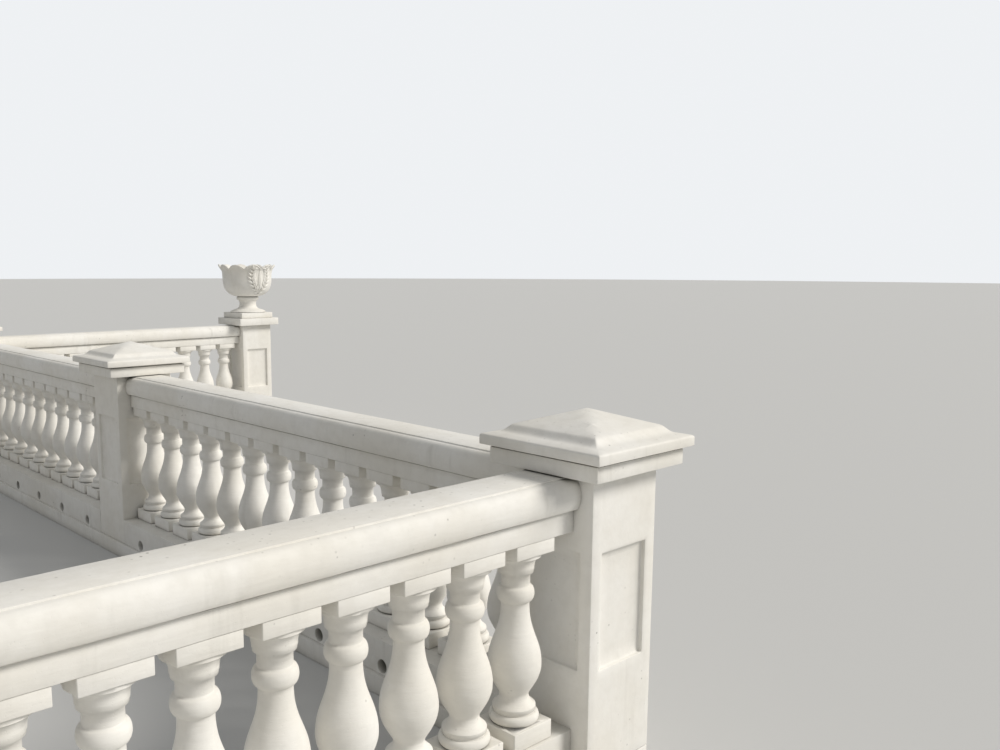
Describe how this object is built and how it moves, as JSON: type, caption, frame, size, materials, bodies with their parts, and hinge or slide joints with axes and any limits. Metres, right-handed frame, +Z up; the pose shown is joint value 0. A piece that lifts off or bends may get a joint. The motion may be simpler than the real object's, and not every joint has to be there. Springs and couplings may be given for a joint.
{
  "type": "stone balustrade",
  "caption": "Terrace balustrade of painted cast stone: turned balusters between a kerb and a moulded rail, square panelled posts with pyramid caps, and a pier that carries an urn.",
  "frame": {"origin": "centre of the footprint's bounding box, at ground level", "axes": "+X along the front and return bays towards the urn pier, +Y along the two side bays, +Z up"},
  "size_m": [6.7856, 7.306, 1.701],
  "materials": {
    "kerb": "painted, matt",
    "balusters": "painted, matt",
    "rail": "painted, matt",
    "posts": "painted, matt",
    "urn": "painted, matt"
  },
  "bodies": {
    "root": {"front_course": "kerb", "side_course": "kerb", "return_course": "kerb", "front_kerb": "kerb", "front_balusters": "balusters", "front_rail": "rail", "middle_kerb": "kerb", "middle_balusters": "balusters", "middle_rail": "rail", "rear_kerb": "kerb", "rear_balusters": "balusters", "rear_rail": "rail", "return_kerb": "kerb", "return_balusters": "balusters", "return_rail": "rail", "end_post_shaft": "posts", "end_post_band": "posts", "end_post_cap": "posts", "corner_post_shaft": "posts", "corner_post_band": "posts", "corner_post_cap": "posts", "middle_post_shaft": "posts", "middle_post_band": "posts", "middle_post_cap": "posts", "rear_post_shaft": "posts", "rear_post_band": "posts", "rear_post_cap": "posts", "pier_shaft": "posts", "pier_band": "posts", "pier_block": "posts", "urn_foot": "urn", "urn_bowl": "urn"}
  },
  "joints": []
}
